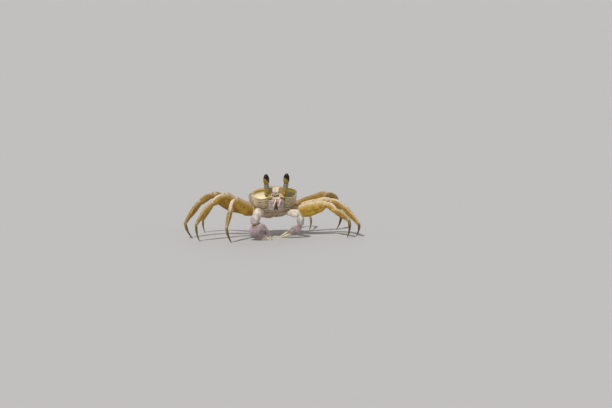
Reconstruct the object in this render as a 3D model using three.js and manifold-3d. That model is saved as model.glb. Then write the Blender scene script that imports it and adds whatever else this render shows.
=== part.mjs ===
// Atlantic ghost crab (Ocypode quadrata), life size, standing on the tips of its walking legs
// with both claws lowered to the ground and the eyes raised.
// Millimetres, +Z up. The crab faces -Y and its right side is at -X.
import * as THREE from "three";
import { mergeVertices } from "three/addons/utils/BufferGeometryUtils.js";
import Module from "manifold-3d";

const wasm = await Module();
wasm.setup();

// ---------------------------------------------------------------- driving dimensions

const GAP = 0.3; // clearance between touching pieces
const FOOT_SINK = 0.8; // depth cut off each toe to leave the flat that it stands on
const STANCE_CENTRE = new THREE.Vector3(-2.2, -3.4, 0); // middle of the outline from above

// Body, in its own frame: -Y is the face, +Z the back shell. The frame is tipped face up.
const BODY_PITCH = 10;
const BODY_CENTRE = new THREE.Vector3(0, -3, 32.5);
const SHELL_WIDTH = 42;
const SHELL_LENGTH = 36;
const SHELL_SEAM = -8.5; // height at which the back shell ends and the breastplate begins

// Details of the body in the same frame, those in pairs on the left side.
const ORBIT = { centre: [11.4, -16.8, 1.6], half: [8.4, 4.8, 5], turn: 24 };
const MOUTH_PLATE = { top: [3.7, -18.2, 0.8], foot: [3.5, -15.6, -10.6], width: 6.8, thick: 2.8 };
const ANTENNA = { root: [3.2, -17.4, 2.4], tip: [6.4, -20.6, 0.6], thick: 1.4 };
const TAIL_FLAP = { front: [0, -6, -14.4], back: [0, 11.5, -15.2], width: 9, thick: 2.6 };

// Walking legs, front pair first: lengths from joint to joint, and the merus at its deepest.
const LEG_PAIRS = [
  { hip: [14, -10, 21.5], merus: 35, carpus: 11, propodus: 16, dactyl: 17, depth: 12.5 },
  { hip: [15, -3.5, 21], merus: 39, carpus: 14, propodus: 23, dactyl: 17, depth: 12.5 },
  { hip: [15, 4, 21], merus: 41, carpus: 13, propodus: 23, dactyl: 17, depth: 12 },
  { hip: [13, 11, 22], merus: 29, carpus: 10, propodus: 15.5, dactyl: 12.5, depth: 8.5 },
];

// Pose of each leg in degrees. Headings turn from straight out (0) to the front (90) and on
// inwards (180); pitch is above the horizontal. A dactyl has a heading only: it slopes as far
// as it must to put the toe on the ground.
const LEG_POSES = {
  right: [
    { merus: [34, 25], carpus: [47, -48], propodus: [48, -60], dactyl: -141 },
    { merus: [23, 28], carpus: [16, -26], propodus: [6, -49], dactyl: -172 },
    { merus: [3, 24], carpus: [-10, -31], propodus: [20, -46], dactyl: -172 },
    { merus: [-28, 14], carpus: [-24, -22], propodus: [-20, -62], dactyl: 167 },
  ],
  left: [
    { merus: [14, 11], carpus: [52, -26], propodus: [50, -28], dactyl: -100 },
    { merus: [12, 14], carpus: [35, -21], propodus: [59, -36], dactyl: -84 },
    { merus: [-1, 18], carpus: [-28, -23], propodus: [-57, -48], dactyl: 130 },
    { merus: [-45, 4], carpus: [-4, -8], propodus: [84, -52], dactyl: 122 },
  ],
};

// Claws: joints of the arm, depth and thickness of the hand, depth of the arm, and how high
// the movable finger starts and arches and how low the palm sags, as shares of the hand's depth.
const CLAWS = {
  right: {
    shoulder: [-11, -13, 22],
    elbow: [-20.4, -27.4, 23.8],
    wrist: [-21.6, -27.2, 15.6],
    tip: [-7.4, -31.2, -0.2],
    depth: 16.5,
    thick: 8,
    arm: 9.2,
    hinge: 0.3,
    arch: 0.03,
    sag: 0.17,
  },
  left: {
    shoulder: [11, -13, 22],
    elbow: [21.3, -24.9, 21],
    wrist: [21.3, -24.9, 12.4],
    tip: [3.9, -18.8, -0.1],
    depth: 8,
    thick: 5,
    arm: 7,
    hinge: 0.12,
    arch: 0,
    sag: 0.24,
  },
};

// Eyes: foot of the stalk, foot and crown of the eyeball, on the left side.
const STALK_FOOT = [7.8, -18.6, 38.5];
const EYE_FOOT = [9, -21, 47.6];
const EYE_CROWN = [9.6, -22, 58.2];
const EYE_WIDTH = 5.5;
const STALK_WIDTH = 4.8;

// ---------------------------------------------------------------- colours

const FINISHES = {
  straw: { color: 0xc9a646, roughness: 0.55, metalness: 0 },
  shell: { color: 0xb3a06c, roughness: 0.6, metalness: 0 },
  pale: { color: 0xcfc3b4, roughness: 0.6, metalness: 0 },
  lilac: { color: 0xb9a7a6, roughness: 0.55, metalness: 0 },
  toe: { color: 0x7a6432, roughness: 0.45, metalness: 0 },
  eye: { color: 0x3a3218, roughness: 0.15, metalness: 0 },
};

// ---------------------------------------------------------------- shaping tools

const { degToRad, lerp, smoothstep } = THREE.MathUtils;
const vector = (xyz) => new THREE.Vector3(...xyz);
const mirrored = (side, [x, y, z]) => [side * x, y, z];
const UPRIGHT = vector([0, 0, 1]);

// A smooth curve of t through [t, value] keys.
function through(...keys) {
  return (t) => {
    const next = keys.findIndex(([at]) => at >= t);
    if (next <= 0) return keys.at(next)[1];
    const [from, low] = keys[next - 1];
    const [to, high] = keys[next];
    return lerp(low, high, smoothstep(t, from, to));
  };
}

// 1 along the middle of a piece, falling to 0 in a round nose at each end.
function rounded(t, nose, tail) {
  const near = Math.max(0, 1 - t / nose);
  const far = Math.max(0, 1 - (1 - t) / tail);
  return Math.sqrt(Math.max(0, 1 - near * near) * Math.max(0, 1 - far * far));
}

// A power that keeps the sign, for square and lens-shaped rings.
const bent = (value, power) => Math.sign(value) * Math.abs(value) ** power;

// A closed skin made of rings from t = 0 to t = 1. ring(t, cos, sin) places one point.
function skin(sides, rows, ring) {
  const geometry = new THREE.SphereGeometry(1, sides, rows);
  const points = geometry.getAttribute("position");
  for (let i = 0; i < points.count; i++) {
    const t = THREE.MathUtils.clamp((1 - points.getY(i)) / 2, 0, 1);
    const angle = Math.atan2(points.getZ(i), points.getX(i));
    const point = ring(t, Math.cos(angle), Math.sin(angle));
    points.setXYZ(i, point.x, point.y, point.z);
  }
  return geometry;
}

// One shell segment between two points. Its depth lies along up and its width across that;
// lift bows it towards up, edge above 1 sharpens its two edges, grow fattens it all round.
function limb({ from, to, up, depth, width, sides = 8, rows = 7, ...more }) {
  const { lift = () => 0, edge = 1, nose = 0.12, tail = 0.12, grow = 0 } = more;
  const start = vector(from);
  const run = vector(to).sub(start);
  const length = run.length();
  const axis = run.normalize();
  const tall = vector(up).addScaledVector(axis, -vector(up).dot(axis)).normalize();
  const across = new THREE.Vector3().crossVectors(axis, tall);
  start.addScaledVector(axis, -grow);
  return skin(sides, rows, (t, cos, sin) => {
    const size = rounded(t, nose, tail);
    return start
      .clone()
      .addScaledVector(axis, t * (length + 2 * grow))
      .addScaledVector(tall, lift(t) + size * (depth(t) / 2 + grow) * cos)
      .addScaledVector(across, size * (width(t) / 2 + grow) * bent(sin, edge));
  });
}

// ---------------------------------------------------------------- solids

// A closed geometry as a solid that can be cut and joined.
function solid(geometry) {
  const bare = geometry.clone();
  bare.deleteAttribute("normal");
  bare.deleteAttribute("uv");
  const merged = mergeVertices(bare, 1e-3);
  const vertProperties = new Float32Array(merged.getAttribute("position").array);
  const triVerts = new Uint32Array(merged.index.array);
  return new wasm.Manifold(new wasm.Mesh({ numProp: 3, vertProperties, triVerts }));
}

// The biggest body of a cut, without its crumbs.
function biggest(made) {
  return made.decompose().reduce((a, b) => (a.volume() > b.volume() ? a : b));
}

const ground = solid(new THREE.BoxGeometry(400, 400, 40).translate(0, 0, -20));

// Adds one named piece to a group.
function add(group, name, made, finish) {
  const mesh = biggest(made).getMesh();
  const geometry = new THREE.BufferGeometry();
  geometry.setAttribute("position", new THREE.BufferAttribute(mesh.vertProperties, 3));
  geometry.setIndex(new THREE.BufferAttribute(mesh.triVerts, 1));
  geometry.computeVertexNormals();
  const piece = new THREE.Mesh(geometry, new THREE.MeshStandardMaterial(FINISHES[finish]));
  piece.name = name;
  group.add(piece);
}

// ---------------------------------------------------------------- walking legs

// Unit direction for a heading and a pitch; side is -1 on the right and 1 on the left.
function direction(side, heading, pitch) {
  const level = Math.cos(degToRad(pitch));
  return new THREE.Vector3(
    side * Math.cos(degToRad(heading)) * level,
    -Math.sin(degToRad(heading)) * level,
    Math.sin(degToRad(pitch)),
  );
}

// The five joints of a leg, hip to toe.
function legJoints(side, pair, pose) {
  const joints = [vector(mirrored(side, pair.hip))];
  for (const segment of ["merus", "carpus", "propodus"]) {
    const reach = direction(side, ...pose[segment]).multiplyScalar(pair[segment]);
    joints.push(joints.at(-1).clone().add(reach));
  }
  const drop = joints.at(-1).z + FOOT_SINK;
  const pitch = -THREE.MathUtils.radToDeg(Math.asin(Math.min(1, drop / pair.dactyl)));
  const reach = direction(side, pose.dactyl, pitch).multiplyScalar(pair.dactyl);
  joints.push(joints.at(-1).clone().add(reach));
  return joints;
}

// Shapes of the four segments, as shares of the merus depth.
const SEGMENTS = {
  merus: (d) => ({
    depth: through([0, 0.55 * d], [0.1, 0.6 * d], [0.5, d], [0.85, 0.82 * d], [1, 0.52 * d]),
    width: through([0, 0.44 * d], [0.3, 0.34 * d], [1, 0.34 * d]),
    lift: (t) => -0.1 * d * Math.sin(Math.PI * t),
    edge: 1.25,
    rows: 9,
  }),
  carpus: (d) => ({
    depth: through([0, 0.38 * d], [0.6, 0.52 * d], [1, 0.46 * d]),
    width: through([0, 0.3 * d], [1, 0.34 * d]),
    lift: (t) => 0.06 * d * Math.sin(Math.PI * t),
    nose: 0.25,
    tail: 0.2,
    rows: 6,
  }),
  propodus: (d) => ({
    depth: through([0, 0.38 * d], [0.35, 0.52 * d], [1, 0.32 * d]),
    width: through([0, 0.28 * d], [0.4, 0.32 * d], [1, 0.24 * d]),
    lift: (t) => 0.05 * d * Math.sin(Math.PI * t),
    nose: 0.15,
    rows: 7,
  }),
  dactyl: (d) => ({
    depth: through([0, 0.26 * d], [0.25, 0.25 * d], [0.7, 0.15 * d], [1, 0.07 * d]),
    width: through([0, 0.2 * d], [0.3, 0.2 * d], [0.7, 0.13 * d], [1, 0.07 * d]),
    lift: (t) => 0.12 * d * Math.sin(Math.PI * t),
    nose: 0.2,
    tail: 0.05,
    rows: 6,
  }),
};
const SEGMENT_NAMES = Object.keys(SEGMENTS);
const JOINT_OVERLAP = 1.6; // how far each segment reaches back into the one before it

// One segment of a leg as a solid. All lie with their deep side upright, and the dactyl bows
// away from the body.
function legSegment(index, joints, pair, grow = 0) {
  const to = joints[index + 1];
  const axis = to.clone().sub(joints[index]).normalize();
  const outward = joints[3].clone().sub(joints[0]).setZ(0).normalize();
  const up = index === 3 ? outward.setZ(1) : UPRIGHT;
  const back = index === 0 ? 0 : JOINT_OVERLAP;
  const from = joints[index].clone().addScaledVector(axis, -back);
  const shape = SEGMENTS[SEGMENT_NAMES[index]](pair.depth);
  return solid(limb({ from, to, up, grow, ...shape }));
}

// Adds a leg's four pieces and returns its hip, fattened, for the socket in the body.
function addLeg(group, name, side, pair, pose) {
  const joints = legJoints(side, pair, pose);
  SEGMENT_NAMES.forEach((segment, i) => {
    let made = legSegment(i, joints, pair);
    if (i < 3) made = made.subtract(legSegment(i + 1, joints, pair, GAP));
    if (i === 3) made = made.subtract(ground);
    add(group, `${name}_${segment}`, made, segment === "dactyl" ? "toe" : "straw");
  });
  return legSegment(0, joints, pair, GAP);
}

// ---------------------------------------------------------------- claws

const between = (from, to, share) => vector(from).lerp(vector(to), share);

function clawArm({ shoulder, elbow, arm }, grow = 0) {
  return solid(
    limb({
      from: shoulder,
      to: elbow,
      up: UPRIGHT,
      depth: through([0, 0.7 * arm], [0.8, arm], [1, 0.8 * arm]),
      width: through([0, 0.6 * arm], [0.8, 0.9 * arm], [1, 0.8 * arm]),
      rows: 7,
      grow,
    }),
  );
}

// The wrist runs a little past its joint, into the hand.
function clawWrist({ elbow, wrist, arm }, grow = 0) {
  return solid(
    limb({
      from: elbow,
      to: between(elbow, wrist, 1.1),
      up: [0, -1, 0],
      depth: through([0, 0.75 * arm], [0.5, arm], [1, 0.75 * arm]),
      width: through([0, 0.7 * arm], [0.5, 0.9 * arm], [1, 0.7 * arm]),
      nose: 0.4,
      tail: 0.35,
      grow,
    }),
  );
}

// The palm and its fixed lower finger, as one.
function clawHand({ wrist, tip, depth: d, thick, sag }, grow = 0) {
  return solid(
    limb({
      from: wrist,
      to: tip,
      up: UPRIGHT,
      depth: through([0, 0.6 * d], [0.3, d], [0.6, 0.7 * d], [1, 0.12 * d]),
      width: through([0, 0.6 * thick], [0.35, thick], [1, 0.25 * thick]),
      lift: through([0, -0.2 * d], [0.4, -sag * d], [1, 0]),
      sides: 12,
      rows: 10,
      tail: 0.06,
      grow,
    }),
  );
}

// The movable finger, hinged at the top of the palm.
function clawFinger({ wrist, tip, depth: d, thick, hinge, arch }, grow = 0) {
  return solid(
    limb({
      from: between(wrist, tip, 0.5).addScaledVector(UPRIGHT, hinge * d),
      to: vector(tip).addScaledVector(UPRIGHT, 0.1 * d),
      up: UPRIGHT,
      depth: through([0, 0.24 * d], [1, 0.1 * d]),
      width: through([0, 0.5 * thick], [1, 0.22 * thick]),
      lift: (t) => arch * d * Math.sin(Math.PI * t),
      tail: 0.06,
      grow,
    }),
  );
}

// Adds a claw's four pieces and returns its arm, fattened, for the socket in the body.
function addClaw(group, name, claw) {
  const palm = clawHand(claw).subtract(clawFinger(claw, GAP)).subtract(ground);
  add(group, `${name}_arm`, clawArm(claw).subtract(clawWrist(claw, GAP)), "pale");
  add(group, `${name}_wrist`, clawWrist(claw).subtract(clawHand(claw, GAP)), "pale");
  add(group, `${name}_palm`, palm, "lilac");
  add(group, `${name}_finger`, clawFinger(claw).subtract(ground), "pale");
  return clawArm(claw, GAP);
}

// ---------------------------------------------------------------- body

const bodyFrame = new THREE.Matrix4()
  .makeRotationX(degToRad(-BODY_PITCH))
  .setPosition(BODY_CENTRE);

// Shell and breastplate as one form, face to tail. The face is blunt and curved in plan, the
// roof is a low vault above two sharp side edges, and the sides draw in below to the belly.
function trunk() {
  const halfWidth = through([0, 0.47], [0.2, 0.5], [0.6, 0.45], [1, 0.3]);
  const edge = through([0, 5.6], [0.3, 6], [1, 0.5]);
  const roof = through([0, 4], [0.35, 5.8], [0.75, 5], [1, 3]);
  const depth = through([0, 11], [0.15, 16], [0.45, 21], [0.8, 17], [1, 6]);
  const blunt = (t, nose, power) => 1 - Math.max(0, 1 - t / nose) ** power;
  return skin(28, 20, (t, cos, sin) => {
    const plan = Math.sqrt(blunt(t, 0.17, 2)) * rounded(t, 1e-6, 0.12);
    const tall = blunt(t, 0.12, 4) * rounded(t, 1e-6, 0.12);
    const across = sin > 0 ? cos : bent(cos, 0.45);
    const up = sin > 0 ? roof(t) * sin ** 2 : depth(t) * bent(sin, 0.9);
    return new THREE.Vector3(
      -SHELL_WIDTH * halfWidth(t) * plan * across,
      SHELL_LENGTH * (t - 0.5),
      tall * (edge(t) + up),
    );
  }).applyMatrix4(bodyFrame);
}

const bodyPiece = (options) => limb(options).applyMatrix4(bodyFrame);

// Half of the mouth cover, on the given side.
function mouthPlate(side, grow = 0) {
  const { top, foot, width, thick } = MOUTH_PLATE;
  return solid(
    bodyPiece({
      from: mirrored(side, top),
      to: mirrored(side, foot),
      up: [side, 0, 0],
      depth: through([0, 0.82 * width], [0.4, width], [1, 0.82 * width]),
      width: () => thick,
      rows: 8,
      grow,
    }),
  );
}

// Socket of one eye, open to the front and top.
function orbit(side) {
  const hollow = new THREE.SphereGeometry(1, 14, 10);
  hollow.scale(...ORBIT.half);
  hollow.rotateZ(side * degToRad(ORBIT.turn));
  hollow.translate(...mirrored(side, ORBIT.centre));
  return solid(hollow.applyMatrix4(bodyFrame));
}

function tail(grow = 0) {
  const { front, back, width, thick } = TAIL_FLAP;
  return solid(
    bodyPiece({
      from: front,
      to: back,
      up: [1, 0, 0],
      depth: through([0, 0.33 * width], [0.5, 0.72 * width], [1, width]),
      width: () => thick,
      rows: 6,
      grow,
    }),
  );
}

function stalk(side, grow = 0) {
  const thickness = through([0, 0.9 * STALK_WIDTH], [1, STALK_WIDTH]);
  return solid(
    limb({
      from: mirrored(side, STALK_FOOT),
      to: mirrored(side, EYE_FOOT),
      up: [0, -1, 0],
      depth: thickness,
      width: thickness,
      nose: 0.25,
      sides: 12,
      rows: 6,
      grow,
    }),
  );
}

function eyeball(side, grow = 0) {
  return solid(
    limb({
      from: mirrored(side, EYE_FOOT),
      to: mirrored(side, EYE_CROWN),
      up: [0, -1, 0],
      depth: () => EYE_WIDTH,
      width: () => EYE_WIDTH,
      nose: 0.42,
      tail: 0.42,
      sides: 14,
      rows: 9,
      grow,
    }),
  );
}

function feeler(side, grow = 0) {
  const thickness = through([0, ANTENNA.thick], [1, 0.43 * ANTENNA.thick]);
  return solid(
    bodyPiece({
      from: mirrored(side, ANTENNA.root),
      to: mirrored(side, ANTENNA.tip),
      up: UPRIGHT,
      depth: thickness,
      width: thickness,
      sides: 6,
      rows: 4,
      grow,
    }),
  );
}

// ---------------------------------------------------------------- assembly

const crab = new THREE.Group();
crab.position.copy(STANCE_CENTRE).negate();

const body = new THREE.Group();
crab.add(body);
const sockets = [];

for (const [name, side] of [["right", -1], ["left", 1]]) {
  const legs = new THREE.Group();
  crab.add(legs);
  LEG_PAIRS.forEach((pair, i) => {
    const pose = LEG_POSES[name][i];
    sockets.push(addLeg(legs, `leg_${name}_${i + 1}`, side, pair, pose));
  });
  sockets.push(addClaw(legs, `claw_${name}`, CLAWS[name]));
  sockets.push(orbit(side), mouthPlate(side, GAP), stalk(side, GAP), feeler(side, GAP));
  add(body, `eye_${name}`, eyeball(side), "eye");
  add(body, `eyestalk_${name}`, stalk(side).subtract(eyeball(side, GAP)), "pale");
  add(body, `mouth_plate_${name}`, mouthPlate(side), "lilac");
  add(body, `antenna_${name}`, feeler(side), "pale");
}

const carved = sockets.reduce((left, cut) => left.subtract(cut), solid(trunk()));
const halfSpace = (up) =>
  solid(
    new THREE.BoxGeometry(80, 80, 40)
      .translate(0, 0, SHELL_SEAM + up * (20 + GAP / 2))
      .applyMatrix4(bodyFrame),
  );
add(body, "carapace", carved.intersect(halfSpace(1)), "shell");
add(body, "breastplate", carved.intersect(halfSpace(-1)).subtract(tail(GAP)), "shell");
add(body, "tail_flap", tail(), "shell");

export default crab;
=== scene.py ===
"""A ghost crab, life size, standing on its toes on a pale floor.

Every shell piece is made as a fine mesh on the same joints and sizes as the solid that it
stands for. Sizes are in millimetres until a mesh is made, and the crab faces -Y.
"""

import math
from functools import partial, reduce

import bpy
import numpy as np
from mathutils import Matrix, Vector


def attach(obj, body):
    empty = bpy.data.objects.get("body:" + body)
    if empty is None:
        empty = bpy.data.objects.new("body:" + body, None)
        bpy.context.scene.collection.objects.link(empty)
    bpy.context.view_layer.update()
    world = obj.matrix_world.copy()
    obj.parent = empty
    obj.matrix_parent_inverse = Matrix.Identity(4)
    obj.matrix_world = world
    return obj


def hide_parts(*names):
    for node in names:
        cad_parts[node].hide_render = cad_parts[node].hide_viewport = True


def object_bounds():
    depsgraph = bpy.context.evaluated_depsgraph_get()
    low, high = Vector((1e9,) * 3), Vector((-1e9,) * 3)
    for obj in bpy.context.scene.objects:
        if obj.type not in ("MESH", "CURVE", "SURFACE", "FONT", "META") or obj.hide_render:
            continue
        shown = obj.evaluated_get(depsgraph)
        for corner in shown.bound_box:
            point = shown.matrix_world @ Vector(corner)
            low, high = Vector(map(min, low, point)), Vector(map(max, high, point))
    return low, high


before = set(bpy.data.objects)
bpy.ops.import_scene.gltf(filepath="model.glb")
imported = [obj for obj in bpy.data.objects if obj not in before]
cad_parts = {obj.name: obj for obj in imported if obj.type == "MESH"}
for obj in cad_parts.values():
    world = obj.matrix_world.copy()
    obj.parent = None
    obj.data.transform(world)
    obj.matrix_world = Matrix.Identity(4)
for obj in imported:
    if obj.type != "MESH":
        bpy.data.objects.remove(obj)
cad_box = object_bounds()

# ---------------- driving dimensions, mm

STANCE_CENTRE = np.array([-2.2, -3.4, 0])  # middle of the outline, which is the frame's origin
BODY_PITCH = math.radians(10)
BODY_CENTRE = np.array([0, -3, 32.5])
SHELL_WIDTH, SHELL_LENGTH = 42, 36
SHELL_SEAM = -8.5  # height of the joint between back shell and breastplate
FOOT_SINK = 0.8
JOINT_OVERLAP = 1.5
BASE_SEGMENT = 9.5  # along the merus, from its buried start to the ring that ends the basal part
UPRIGHT = np.array([0, 0, 1])
SIDES = (("right", -1), ("left", 1))

LEG_PAIRS = [  # hip, lengths of merus, carpus, propodus and dactyl, depth of the merus
    ((14, -10, 21.5), (35, 11, 16, 17), 12.5),
    ((15, -3.5, 21), (39, 14, 23, 17), 12.5),
    ((15, 4, 21), (41, 13, 23, 17), 12),
    ((13, 11, 22), (29, 10, 15.5, 12.5), 8.5),
]
# Heading from straight out to the front, and pitch above the horizontal, in degrees; the
# dactyl has only a heading, as it slopes down to the floor.
LEG_POSES = {
    "right": [
        ((34, 25), (47, -48), (48, -60), -141),
        ((23, 28), (16, -26), (6, -49), -172),
        ((3, 24), (-10, -31), (20, -46), -172),
        ((-28, 14), (-24, -22), (-20, -62), 167),
    ],
    "left": [
        ((14, 11), (52, -26), (50, -28), -100),
        ((12, 14), (35, -21), (59, -36), -84),
        ((-1, 18), (-28, -23), (-57, -48), 130),
        ((-45, 4), (-4, -8), (84, -52), 122),
    ],
}
CLAWS = {  # joints, sizes in mm, and shares of the hand's depth
    "right": dict(
        joints=((-11, -13, 22), (-20.4, -27.4, 23.8), (-21.6, -27.2, 15.6), (-7.4, -31.2, -0.2)),
        depth=16.5, thick=8, arm=9.2, hinge=0.3, arch=0.03, sag=0.17, bite=0.16,
    ),
    "left": dict(
        joints=((11, -13, 22), (21.3, -24.9, 21), (21.3, -24.9, 12.4), (3.9, -18.8, -0.1)),
        depth=8, thick=5, arm=7, hinge=0.12, arch=0, sag=0.24, bite=0.24,
    ),
}
EYE_JOINTS = ((7.8, -18.6, 38.5), (9, -21, 47.6), (9.6, -22, 58.15))  # stalk's foot, neck, crown
EYE_WIDTH = 5.5

# ---------------- shaping tools


def smooth(t):
    t = np.clip(t, 0, 1)
    return t * t * (3 - 2 * t)


def ramp(value, low, high):
    """0 below low and 1 above high, with a soft step between; high may lie below low."""
    return smooth((value - low) / (high - low))


def curve(shape, scale=1):
    """A smooth function of t from a number, a (first, last) pair or a list of (t, value) keys."""
    if callable(shape):
        return shape
    keys = shape if isinstance(shape, list) else list(enumerate(np.broadcast_to(shape, 2)))
    at, values = np.array(keys, float).T
    values = values * scale

    def value_at(t):
        t = np.clip(t, 0, 1)
        i = np.clip(np.searchsorted(at, t, side="left"), 1, len(at) - 1)
        return values[i - 1] + (values[i] - values[i - 1]) * smooth((t - at[i - 1]) / (at[i] - at[i - 1]))

    return value_at


def rounded(t, nose, tail):
    """1 along most of a segment, falling to 0 as an ellipse does at its nose and tail."""
    near, far = (np.maximum(0, 1 - part) for part in (t / nose, (1 - t) / tail))
    return np.sqrt(np.maximum(0, 1 - near**2) * np.maximum(0, 1 - far**2))


def dome(distance):
    """1 at 0, falling to 0 at a distance of 1 as a circle does."""
    return np.sqrt(np.maximum(0, 1 - distance**2))


def hump(x):
    """A bell of height 1 at 0."""
    return np.exp(-(x**2))


def bent(value, power):
    return np.sign(value) * np.abs(value) ** power


def unit(v):
    v = np.asarray(v, float)
    return v / np.maximum(np.linalg.norm(v, axis=-1, keepdims=True), 1e-9)


def sided(side, *points):
    """Points given for the crab's left side, on either side."""
    return np.multiply(points, (side, 1, 1))


def scatter(cell, seed):
    """A repeatable value from 0 to 1 for each whole-numbered cell (..., 3)."""
    mixed = cell[..., 0] * 127.1 + cell[..., 1] * 311.7 + cell[..., 2] * 74.7 + seed * 53.3
    return np.abs(np.sin(mixed) * 43758.5453) % 1


def cloud(points, size, seed=0):
    """Soft noise from 0 to 1 with blots of the given size."""
    q = points / size
    base = np.floor(q)
    part = smooth(q - base)
    total = 0
    for corner in np.ndindex(2, 2, 2):
        share = np.prod(np.where(np.array(corner) == 1, part, 1 - part), axis=-1)
        total = total + share * scatter(base + corner, seed)
    return total


def grains(points, size, seed=0):
    """Round grains set at random, 1 at their tops and 0 between them."""
    q = points / size
    nearest = np.full(points.shape[:-1], 9.0)
    for corner in np.ndindex(3, 3, 3):
        cell = np.floor(q) + corner - 1
        heart = cell + np.stack([scatter(cell, seed + k) for k in (1, 2, 3)], -1)
        nearest = np.minimum(nearest, np.sum((q - heart) ** 2, axis=-1))
    return np.maximum(0, 1 - nearest / 0.3)


# ---------------- forms
# A form is a dict of points (n, 3), quads, tris, and marks: named values for each point.


def surface(grid, marks):
    """A closed form from rings of points (rows, sides, 3), with a fan over each open end."""
    rows, sides = grid.shape[:2]
    index = np.arange(rows * sides).reshape(rows, sides)
    corners = [index[:-1], np.roll(index[:-1], -1, 1), np.roll(index[1:], -1, 1), index[1:]]
    marks = {name: np.broadcast_to(value, (rows, sides)) for name, value in marks.items()}
    tris = []
    for row, pole in ((0, rows * sides), (-1, rows * sides + 1)):
        ring = [index[row], np.roll(index[row], -1)][:: 1 if row else -1]
        tris.append(np.stack([np.full(sides, pole)] + ring, -1))
    form = dict(
        points=np.concatenate([grid.reshape(-1, 3), grid[[0, -1]].mean(1)]),
        quads=np.stack(corners, -1).reshape(-1, 4),
        tris=np.concatenate(tris),
        marks={k: np.concatenate([v.reshape(-1), v[[0, -1]].mean(1)]) for k, v in marks.items()},
    )
    return outward(form)


def outward(form):
    """Turns the faces so that they point out."""
    p, q = form["points"], form["quads"]
    tris = np.concatenate([q[:, [0, 1, 2]], q[:, [0, 2, 3]], form["tris"]])
    a, b, c = (p[tris[:, k]] for k in range(3))
    if np.einsum("ij,ij->i", a, np.cross(b, c)).sum() < 0:
        form["quads"], form["tris"] = q[:, ::-1], form["tris"][:, ::-1]
    return form


def joined(forms):
    """Several forms as one; a mark that a form lacks is 0 on it."""
    names = set().union(*(f["marks"] for f in forms))
    offsets = np.cumsum([0] + [len(f["points"]) for f in forms])
    whole = {k: np.concatenate([f[k] + o for f, o in zip(forms, offsets)]) for k in ("quads", "tris")}
    whole["points"] = np.concatenate([f["points"] for f in forms])
    whole["marks"] = {
        name: np.concatenate([f["marks"].get(name, np.zeros(len(f["points"]))) for f in forms])
        for name in names
    }
    return whole


def marked(form, name):
    """The form with a mark that is 1 all over it."""
    form["marks"][name] = np.ones(len(form["points"]))
    return form


def placed(name, data):
    """A new object in the scene with the given data."""
    obj = bpy.data.objects.new(name, data)
    bpy.context.scene.collection.objects.link(obj)
    return obj


def piece(node, form, material, ending="_shell"):
    """Makes the mesh that shows in place of a node; without an ending it is an extra piece."""
    mesh = bpy.data.meshes.new(node + ending)
    points = (form["points"] - STANCE_CENTRE) * 0.001
    points[:, 2] = np.maximum(points[:, 2], 0)
    quads, tris = form["quads"], form["tris"]
    corners = np.concatenate([quads.reshape(-1), tris.reshape(-1)]).astype(np.int32)
    sizes = np.repeat([4, 3], [len(quads), len(tris)])
    mesh.vertices.add(len(points))
    mesh.vertices.foreach_set("co", points.astype(np.float32).reshape(-1))
    mesh.loops.add(len(corners))
    mesh.loops.foreach_set("vertex_index", corners)
    mesh.polygons.add(len(sizes))
    mesh.polygons.foreach_set("loop_start", (np.cumsum(sizes) - sizes).astype(np.int32))
    mesh.update(calc_edges=True)
    mesh.validate()
    mesh.polygons.foreach_set("use_smooth", np.ones(len(mesh.polygons), bool))
    for name, value in form["marks"].items():
        layer = mesh.attributes.new(name, "FLOAT", "POINT")
        layer.data.foreach_set("value", value.astype(np.float32))
    mesh.materials.append(material)
    obj = placed(node + ending, mesh)
    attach(obj, "root")
    if ending:
        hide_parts(node)
    return obj


CUP_RINGS = (  # of an open end, inwards: share of the rim, depth in units of cup, value of the mark
    (0.97, 0.2, 0), (0.91, 0.26, 0.1), (0.85, 0.1, 0.6), (0.79, -0.2, 1),
    (0.68, -0.05, 1), (0.4, 0.2, 1), (0.15, 0.3, 1),
)


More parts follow.
